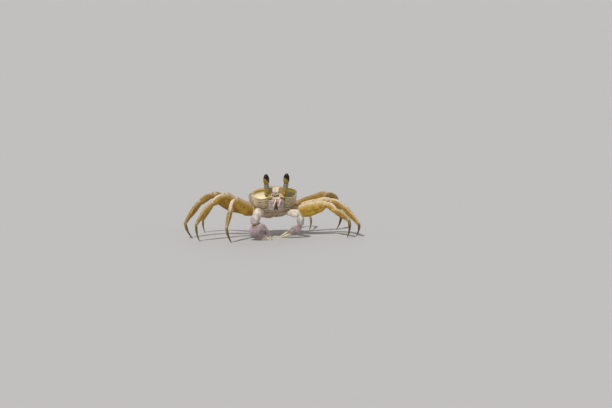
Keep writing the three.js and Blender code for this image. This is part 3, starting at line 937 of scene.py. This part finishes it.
def make_mouth(name, side, materials):
    """Makes a mouth plate, and returns the roots of its bristles."""
    ends = sided(side, (3.75, -18.3, -0.7), (3.5, -15.6, -10.6))
    depth = [(0, 5.8), (0.4, 6.8), (1, 5.4)]
    plate = limb(*ends, (side, 0, 0), depth, 2.8, relief=plate_relief, rows=90, sides=64)
    edge = sided(side, (7.2, -16.8, -0.7), (6.8, -14.4, -10))
    strap = limb(*edge, (side, 0, 0), [(0, 0.9), (0.3, 1.5), (1, 1.7)], 1.4, rows=40, sides=24)
    form = tilted(joined([plate, strap] + make_palps(name, side)))
    piece(f"mouth_plate_{name}", form, materials["mouth"])
    return hair_roots(tilted(plate), *from_body(ends), MOUTH_HAIRS)


def feeler_relief(t, angle, length):
    return 0.05 * beads(t, length, 0.45)


def make_feelers(name, side, materials):
    """The outer feeler, its base, and the two joints of the folded inner feeler."""
    outer = sided(side, (4.6, -18.3, 1.6), (6.6, -20.5, 0.9))
    base = sided(side, (3.4, -17.6, 1.8), (5.1, -18.7, 1.3))
    forms = [
        limb(*outer, UPRIGHT, (0.95, 0.5), relief=feeler_relief, rows=30, sides=14),
        limb(*base, UPRIGHT, 1.9, 1.7, nose=0.4, tail=0.4, rows=24, sides=24),
    ]
    folded = (((0.6, -17.6, 3.5), (1.9, -18, 3.9), 1.2), ((1.8, -18.1, 3.9), (2.9, -17.8, 4), 0.8))
    for start, end, size in folded:
        ends = sided(side, start, end)
        forms.append(limb(*ends, (0, -1, 0.3), size, nose=0.35, tail=0.35, rows=18, sides=18))
    piece(f"antenna_{name}", tilted(joined(forms)), materials["feeler"])


def stalk_relief(t, angle, length):
    """A collar and a furrow below the eye."""
    return 0.2 * hump((t - 0.82) / 0.04) - 0.16 * hump((t - 0.9) / 0.02)


def make_eye(name, side, materials):
    foot, neck, crown = sided(side, *EYE_JOINTS)
    forward = (0, -1, 0)
    stalk = limb(
        foot - (neck - foot) * 0.12, neck + (neck - foot) * 0.1, forward,
        [(0, 4.6), (0.35, 4), (0.7, 3.9), (1, 4.7)], [(0, 4.9), (0.35, 4.2), (0.7, 4), (1, 4.8)],
        nose=0.25, tail=0.1, rows=80, sides=56, relief=stalk_relief,
    )
    top = neck + (crown - neck) * 0.13
    collar = limb(neck, top, forward, 4.9, nose=0.5, tail=0.5, rows=20, sides=40)
    stalk = joined([stalk, marked(collar, "collar")])
    piece(f"eyestalk_{name}", stalk, materials["stalk"])
    eye = limb(
        neck, crown, forward, [(0, 5.2), (0.55, EYE_WIDTH), (1, 5)],
        [(0, 5), (0.55, EYE_WIDTH), (1, 4.8)], nose=0.36, tail=0.44, rows=80, sides=64,
    )
    x = eye["points"][:, 0]
    # lean grows towards the crab's left on both eyes, where the cornea's finish paints shade
    eye["marks"]["lean"] = (x - x.mean()) / EYE_WIDTH
    piece(f"eye_{name}", eye, materials["eye"], "_cornea")


# ---------------- finishes
# A finish is painted in rows: a colour, how far it covers, and masks that say where. A mask is a
# mark's name, (mark, low, high), (low, high, size, detail, roughness, distortion) for blots of
# noise, or ("cells", low, high, size, feature) for grains. Sizes are in millimetres.


def tint(code):
    """A colour from its usual six-digit code, as the linear values that a shader takes."""
    values = [int(code[k : k + 2], 16) / 255.0 for k in (0, 2, 4)]
    return tuple(v / 12.92 if v <= 0.04045 else ((v + 0.055) / 1.055) ** 2.4 for v in values) + (1.0,)


class Finish:
    """A procedural finish built up from noise and the marks on the mesh."""

    def __init__(self, name, base, roughness=0.5):
        self.material = bpy.data.materials.new(name)
        self.material.use_nodes = True
        self.tree = self.material.node_tree
        self.shader = self.tree.nodes["Principled BSDF"]
        self.place = self.node("TexCoord", {}).outputs["Object"]
        self.rough = roughness
        self.colour = tint(base)
        self.normal = None

    def set(self, socket, value):
        if isinstance(value, bpy.types.NodeSocket):
            self.tree.links.new(value, socket)
        else:
            socket.default_value = value

    def node(self, kind, inputs, **properties):
        node = self.tree.nodes.new("ShaderNode" + kind)
        for name, value in properties.items():
            setattr(node, name, value)
        for key, value in inputs.items():
            self.set(node.inputs[key], value)
        return node

    def noise(self, size, detail=3, roughness=0.55, distortion=0):
        inputs = dict(Vector=self.place, Scale=1000.0 / size, Detail=detail, Roughness=roughness)
        return self.node("TexNoise", dict(inputs, Distortion=distortion)).outputs["Fac"]

    def cells(self, size, feature="F1"):
        inputs = dict(Vector=self.place, Scale=1000.0 / size)
        return self.node("TexVoronoi", inputs, feature=feature).outputs["Distance"]

    def mark(self, name):
        return self.node("Attribute", {}, attribute_name=name).outputs["Fac"]

    def math(self, kind, a, b):
        return self.node("Math", {0: a, 1: b}, operation=kind).outputs[0]

    def band(self, value, low, high):
        """0 up to low and 1 from high, or the other way round when high is the smaller."""
        limits = {"From Min": min(low, high), "From Max": max(low, high)}
        ends = {"To Min": float(high < low), "To Max": float(high >= low)}
        inputs = {"Value": value, **limits, **ends}
        return self.node("MapRange", inputs, interpolation_type="SMOOTHSTEP").outputs["Result"]

    def where(self, mask):
        """The value of a mask; a socket may stand in for the name of a mark."""
        if isinstance(mask, str):
            return self.mark(mask)
        first, *rest = mask
        if first == "cells":
            return self.band(self.cells(*rest[2:]), *rest[:2])
        if isinstance(first, str):
            first = self.mark(first)
        if isinstance(first, bpy.types.NodeSocket):
            return self.band(first, *rest)
        return self.band(self.noise(*rest[1:]), first, rest[0])

    def paint(self, *rows):
        """Lays each row's colour over the ones before it, where all its masks are high."""
        for colour, share, *masks in rows:
            product = reduce(lambda a, b: self.math("MULTIPLY", a, b), [*map(self.where, masks), share])
            inputs = {"Factor": product, 6: self.colour, 7: tint(colour)}
            self.colour = self.node("Mix", inputs, data_type="RGBA").outputs[2]

    def bump(self, height, distance, strength=1.0):
        """Adds relief of a distance in millimetres."""
        inputs = {"Strength": strength, "Distance": distance * 0.001, "Height": height}
        if self.normal is not None:
            inputs["Normal"] = self.normal
        self.normal = self.node("Bump", inputs).outputs["Normal"]

    def grain(self, size=0.55, height=0.1):
        """The fine granules and pores that all the shell has."""
        self.bump(self.where(("cells", 0.75, 0.15, size)), height, 0.8)
        self.bump(self.noise(0.25, 4, 0.65), 0.05, 0.6)

    def done(self, specular, spread=0.12, **sockets):
        """Sets up the shader; the roughness wanders by spread to either side."""
        limits = {"From Min": 0.3, "From Max": 0.7}
        ends = {"To Min": self.rough - spread, "To Max": self.rough + spread}
        sheen = self.node("MapRange", {"Value": self.noise(1.4, 4), **limits, **ends})
        sockets.update(Roughness=sheen.outputs["Result"], Base_Color=self.colour, Specular_IOR_Level=specular)
        if self.normal is not None:
            sockets["Normal"] = self.normal
        for name, value in sockets.items():
            self.set(self.shader.inputs[name.replace("_", " ")], value)
        return self.material


def straw_finish(name, frost_and_highlight, base="d2a83a", lilac="a59c9d"):
    """Leg shell: olive straw over brown, with pale lilac mottling on its upper edge that is partly the
    shell's own colour and partly painted highlight.
    """
    pale = "e4d9cd"
    f = Finish(name, base, 0.46)
    f.paint(
        ("a8741f", 0.8, (0.42, 0.66, 6, 4, 0.6, 0.6), ("crest", 0.75, -0.2)),
        ("75601f", 0.6, (0.5, 0.68, 1.5, 5, 0.7, 0.4)),
        ("85601f", 0.5, ("crest", 0.6, 0.3), ("crest", -0.6, -0.1), (0.35, 0.6, 3, 4)),
        ("d2b34f", 0.5, (0.56, 0.72, 2.3, 4)),
        # partly painted highlight: pale and lilac mottling over the upper edge, where light falls on top
        (pale, frost_and_highlight, ("crest", 0.3, 0.9), (0.36, 0.56, 1.7, 5, 0.65)),
        (lilac, frost_and_highlight * 0.9, ("crest", 0.1, 0.8), (0.5, 0.62, 1, 5, 0.7, 0.5)),
        (pale, 0.6, ("along", 0.86, 0.97), (0.35, 0.62, 1.3, 4), ("crest", -0.4, 0.6)),
        ("d5c4a0", 0.75 * frost_and_highlight, ("along", 0.2 + 0.2 * frost_and_highlight, 0.2), (0.3, 0.55, 1.9, 4)),
        ("5b4422", 0.6, ("cells", 0.16, 0.1, 0.75), (0.45, 0.6, 2)),
        ("a98a5c", 0.8, "cup"),
    )
    f.grain()
    return f.done(0.42)


def toe_finish():
    """Dactyl: olive-brown horn, yellower at its root, with dark furrows and a pale worn tip."""
    f = Finish("toe", "665524", 0.38)
    f.paint(
        ("b5984c", 1, ("along", 0.4, 0.05), (0.3, 0.6, 1.6, 4)),
        ("4e3b1c", 0.7, (0.48, 0.66, 1, 5, 0.7)),
        ("b79f6a", 0.6, ("crest", 0.6, 0.95), (0.4, 0.6, 0.9)),
        ("e0cfae", 0.85, ("along", 0.86, 0.97)),
    )
    f.bump(f.noise(0.5, 4), 0.08, 0.7)
    f.bump(f.noise(0.2, 3), 0.03, 0.5)
    return f.done(0.5)


def pale_finish(name, base, blush, spot, spot_share, lilac="a99a9c"):
    """Claw shell: cream to lilac-grey with raised pale grains, and a few warmer blots."""
    f = Finish(name, base)
    f.paint(
        (lilac, 0.75, (0.44, 0.62, 2.6, 5, 0.62, 0.5)),
        (blush, 0.6, (0.5, 0.68, 3.4, 4, 0.6)),
        ("efe6d8", 0.5, ("cells", 0.26, 0.1, 0.8), (0.38, 0.6, 1.8)),
        (spot, spot_share, (0.6, 0.68, 2.2, 4, 0.6)),
        # partly painted highlight: a paler upper edge, partly the shell's own pale edge and partly where
        # light falls on top
        ("efe3c8", 0.5, ("crest", 0.85, 0.99), (0.35, 0.6, 1.2)),
        ("6f5c55", 0.6, ("cells", 0.15, 0.1, 0.7), (0.5, 0.62, 1.7)),
        ("b48f6a", 0.8, "cup"),
    )
    f.grain(0.6, 0.07)
    return f.done(0.4)


def palm_finish(name, cream_from):
    """Hand: lilac-grey with pale grains, an orange-brown root, and cream finger ends."""
    f = Finish(name, "988784")
    tipward = f.math("ADD", f.mark("along"), f.math("MULTIPLY", f.noise(2.6, 4), 0.25))
    tipward = f.math("SUBTRACT", tipward, f.math("MULTIPLY", f.mark("crest"), 0.1))
    f.paint(
        ("6f5f62", 0.8, (0.42, 0.64, 3, 5, 0.62, 0.6)),
        ("c2b2ae", 0.7, (0.52, 0.68, 1.9, 4, 0.6)),
        ("d3c5bd", 0.45, ("cells", 0.3, 0.12, 0.9), (0.35, 0.6, 1.6)),
        ("b9aebb", 0.6, ("along", 0.42, 0.12), (0.3, 0.5, 2.8)),
        ("9a5f22", 0.9, ("along", 0.26, 0.14), ("crest", -0.5, -0.1), ("crest", 0.8, 0.5), (0.4, 0.54, 1.9)),
        ("e9dcba", 0.92, (tipward, cream_from, cream_from + 0.16)),
        # partly painted highlight: pale lower and upper edges, which are also the hand's beaded rims
        ("d9cbbd", 0.5, ("crest", -0.82, -0.98)),
        ("d9cbbd", 0.5, ("crest", 0.88, 0.99)),
        ("55464a", 0.5, ("cells", 0.15, 0.1, 0.65), (0.5, 0.62, 1.7)),
    )
    f.grain(0.6, 0.12)
    return f.done(0.4)


def body_finish(name, base, shade, low_shade):
    """Back shell and breastplate, from the granular olive-tan back to the cream eye sockets."""
    f = Finish(name, base, 0.56)
    f.paint(
        (shade, 0.7, (0.45, 0.64, 2.4, 5, 0.65, 0.8)),
        ("7d664e", 0.7, "face", ("streak", 0.75, 0.25), (0.3, 0.6, 3)),
        ("dccaa4", 0.75, ("streak", 0.4, 0.9), (0.35, 0.6, 2.2, 4)),
        ("d6c39b", 0.6, ("cells", 0.34, 0.12, 1.05), (0.35, 0.6, 2)),
        ("5e4b36", 0.4, ("cells", 0.07, 0.02, 0.8, "DISTANCE_TO_EDGE"), (0.4, 0.6, 3)),
        ("6a5434", low_shade, ("height", 0.42, 0.2)),
        ("c3a765", 0.7, "upper", (0.3, 0.6, 4, 4)),
        ("8b7f6a", 0.7, "upper", (0.5, 0.62, 1.5, 5, 0.7)),
        ("e8dcb6", 0.6, "upper", ("cells", 0.25, 0.1, 1.2)),
        ("7d6b48", 0.6, ("groove", 0.1, 0.4), (0.3, 0.6, 1.4, 4)),
        ("d8c8ae", 0.8, "flank", (0.2, 0.5, 2.2)),
        ("f6e9c2", 0.95, "socket"),
        ("d3c38c", 0.5, "socket", (0.5, 0.68, 2.4, 4)),
        # painted shade: a darker grey-olive over the crab's left socket
        ("8d8158", 0.85, "dim", (0.2, 0.5, 3)),
        ("c0941f", 0.9, "gold", (0.15, 0.4, 2)),
        # painted highlight: lighter yellow on the outer gold of the crab's left brow
        ("f4d663", 0.85, "gleam"),
        ("e9d9ae", 0.8, ("rim", 0.3, 0.8), (0.25, 0.5, 1.2)),
        ("bf9230", 0.9, ("brow", 0.2, 0.65)),
        ("d8c9a0", 0.8, ("margin", 0.3, 0.8)),
        ("dcc8a4", 0.95, "recess"),
        ("e9dcc8", 0.95, ("beak", 0.1, 0.7)),
        ("cdb6a2", 0.7, "beak", (0.48, 0.62, 1.6, 4, 0.6)),
        ("f2dfc6", 0.9, ("arch", 0.2, 0.7)),
        ("e3b9a8", 0.6, "arch", (0.5, 0.62, 1.3, 4)),
        ("caa23c", 0.85, "lobe"),
        # painted shade: near-black in the slits of the face
        ("2c1c12", 1, ("pit", 0.1, 0.6)),
        ("c08d38", 0.9, "jaw"),
        ("4f3d24", 0.6, "seam"),
    )
    f.grain(0.5)
    return f.done(0.38)


def mouth_finish():
    """Mouth cover: lilac-grey plates with painted shade along their inner edges, where they meet, and pink
    palps.
    """
    f = Finish("mouth", "b5a69b")
    f.paint(
        ("918386", 0.75, (0.45, 0.62, 2, 5, 0.6, 0.5)),
        ("d6c9bd", 0.7, (0.52, 0.66, 1.3, 4)),
        # painted shade: dark brown along the inner edges of the plates, where they meet
        ("43291b", 0.9, ("crest", -0.8, -0.97), ("along", 0.3, 0.5)),
        ("3a2817", 0.9, ("crest", -0.5, -0.8), ("along", 0.5, 0.75)),
        ("f2d2c8", 0.95, "palp"),
        ("f7e6dc", 0.7, "palp", (0.5, 0.62, 0.9)),
        ("6a4a3a", 0.6, ("cells", 0.14, 0.09, 0.6), (0.5, 0.6, 1.5)),
    )
    f.grain(0.5, 0.08)
    return f.done(0.4)


def stalk_finish():
    """Eyestalk: brown foot, golden olive, and a blue-grey neck below the collar."""
    f = Finish("stalk", "bd9c3e", 0.48)
    f.paint(
        ("6f5a24", 0.75, (0.42, 0.62, 1.7, 5, 0.6, 0.4)),
        ("4a3320", 0.8, ("along", 0.24, 0.08)),
        ("97988f", 0.85, ("along", 0.55, 0.72), (0.2, 0.5, 1.6)),
        ("6c7078", 0.8, ("along", 0.7, 0.85), (0.35, 0.6, 1)),
        ("8e8a74", 0.9, "collar"),
    )
    f.grain(0.4, 0.06)
    return f.done(0.4)


def eye_finish():
    """Cornea: olive below, black-brown over the crown, with painted shade down the side towards the crab's
    left, wet and finely faceted.
    """
    f = Finish("cornea", "94802c", 0.16)
    ragged = f.math("ADD", f.mark("along"), f.math("MULTIPLY", f.noise(2.2), 0.35))
    # painted shade: the dark cap reaches further down the side towards the crab's left
    ragged = f.math("ADD", ragged, f.math("MULTIPLY", f.mark("lean"), 0.35))
    f.paint(
        ("66561c", 0.7, (0.45, 0.6, 1.3, 4, 0.6)),
        ("b39d44", 0.5, (0.55, 0.65, 0.8)),
        ("200e05", 1, (ragged, 0.62, 0.76)),
        ("2b1d12", 0.7, ("along", 0.09, 0.02)),
    )
    f.bump(f.cells(0.12), 0.01, 0.4)
    return f.done(0.2, 0.04, Coat_Weight=0.3, Coat_Roughness=0.04)


def plain_floor():
    f = Finish("floor", "bcbab8", 0.85)
    f.bump(f.noise(3, 2), 0.02, 0.2)
    return f.done(0.2, 0.04)


def bristle_finish():
    f = Finish("bristle", "cdb88a")
    f.paint(("8e7442", 0.7, (0.4, 0.6, 1.5)))
    return f.done(0.35)


# ---------------- stage


def placed(name, data):
    """Puts a new object with the given data in the scene."""
    obj = bpy.data.objects.new(name, data)
    bpy.context.scene.collection.objects.link(obj)
    return obj


FLOOR_REACH, FLOOR_DROP = 12.0, 0.00003  # metres
LAMPS = (  # name, direction it shines from, spread in degrees, strength
    ("key", (-0.44, -0.4, 0.85), 6.0, 2.55),
    ("fill", (0.8, -0.9, 0.4), 60.0, 0.24),
    ("rim", (0.3, 1.0, 0.7), 40.0, 0.4),
)


def make_stage():
    mesh = bpy.data.meshes.new("floor")
    corners = [(x * FLOOR_REACH, y * FLOOR_REACH, 0) for x, y in ((-1, -1), (1, -1), (1, 1), (-1, 1))]
    mesh.from_pydata(corners, [], [(0, 1, 2, 3)])
    mesh.materials.append(plain_floor())
    floor = placed("floor", mesh)
    floor.location.z = -FLOOR_DROP

    scene = bpy.context.scene
    scene.world = bpy.data.worlds.new("studio")
    scene.world.use_nodes = True
    sky = scene.world.node_tree.nodes["Background"].inputs
    sky["Color"].default_value, sky["Strength"].default_value = (0.98, 0.98, 1.0, 1), 0.3
    for name, towards, spread, power in LAMPS:
        light = bpy.data.lights.new(name, "SUN")
        light.angle, light.energy = math.radians(spread), power
        placed(name, light).rotation_euler = Vector(towards).to_track_quat("Z", "Y").to_euler()
    scene.view_settings.view_transform = "Standard"


CAMERA_TURN, CAMERA_RISE = math.radians(-16), math.radians(8)
CAMERA_LENS, SENSOR = 400.0, 36.0
FRAME_WIDTH = 612 / 1.12  # millimetres across the picture at the crab
AIM_RIGHT, AIM_UP = 32.3, 27.7  # from the middle of the body's shadow to the middle of the picture


def make_camera():
    level = math.cos(CAMERA_RISE)
    back = Vector((math.sin(CAMERA_TURN) * level, -math.cos(CAMERA_TURN) * level, math.sin(CAMERA_RISE)))
    right = Vector((math.cos(CAMERA_TURN), math.sin(CAMERA_TURN), 0))
    aim = (right * AIM_RIGHT + back.cross(right) * AIM_UP - Vector(STANCE_CENTRE)) * 0.001
    camera = placed("camera", bpy.data.cameras.new("camera"))
    camera.data.lens, camera.data.sensor_width = CAMERA_LENS, SENSOR
    camera.location = aim + back * (FRAME_WIDTH * 0.001 * CAMERA_LENS / SENSOR)
    camera.rotation_euler = (-back).to_track_quat("-Z", "Y").to_euler()
    camera.data.clip_start, camera.data.clip_end = 0.1, 100.0
    bpy.context.scene.camera = camera


# ---------------- the crab

make_camera()
make_stage()
finishes = {
    "merus": straw_finish("leg_merus", 0.65),
    "carpus": straw_finish("leg_carpus", 0.95, lilac="b0a8b0"),
    "propodus": straw_finish("leg_propodus", 0.3, "b28c2a"),
    "merus_back": straw_finish("leg_merus_back", 0.08, "a07a28"),
    "carpus_back": straw_finish("leg_carpus_back", 0.2, "a47f2b"),
    "propodus_back": straw_finish("leg_propodus_back", 0.1, "a58020"),
    "dactyl": toe_finish(),
    "arm": pale_finish("claw_arm", "e0d6c4", "cfba84", "b98a3c", 0.5, "b5a8a6"),
    "wrist": pale_finish("claw_wrist", "c4bbb6", "b3a2a0", "b98a50", 0.35, "8f8b95"),
    "palm_right": palm_finish("claw_palm_right", 0.8),
    "palm_left": palm_finish("claw_palm_left", 0.62),
    "finger_right": palm_finish("claw_finger_right", 0.9),
    "finger_left": palm_finish("claw_finger_left", 0.3),
    "carapace": body_finish("carapace", "b39e7a", "806b50", 0.35),
    "breast": body_finish("breast", "dcc3a4", "947d66", 0.0),
    "mouth": mouth_finish(),
    "feeler": pale_finish("feeler", "d9c2a8", "c99a80", "a9704c", 0.4),
    "stalk": stalk_finish(),
    "eye": eye_finish(),
    "bristle": bristle_finish(),
}
leg_roots = make_legs(finishes)
face_roots = [make_claw(name, CLAWS[name], finishes) for name, _ in SIDES]
make_body(finishes)
for name, side in SIDES:
    face_roots.append(make_mouth(name, side, finishes))
    make_feelers(name, side, finishes)
    make_eye(name, side, finishes)
bristles("leg_bristles", leg_roots, finishes["bristle"])
bristles("claw_and_mouth_bristles", face_roots, finishes["bristle"])
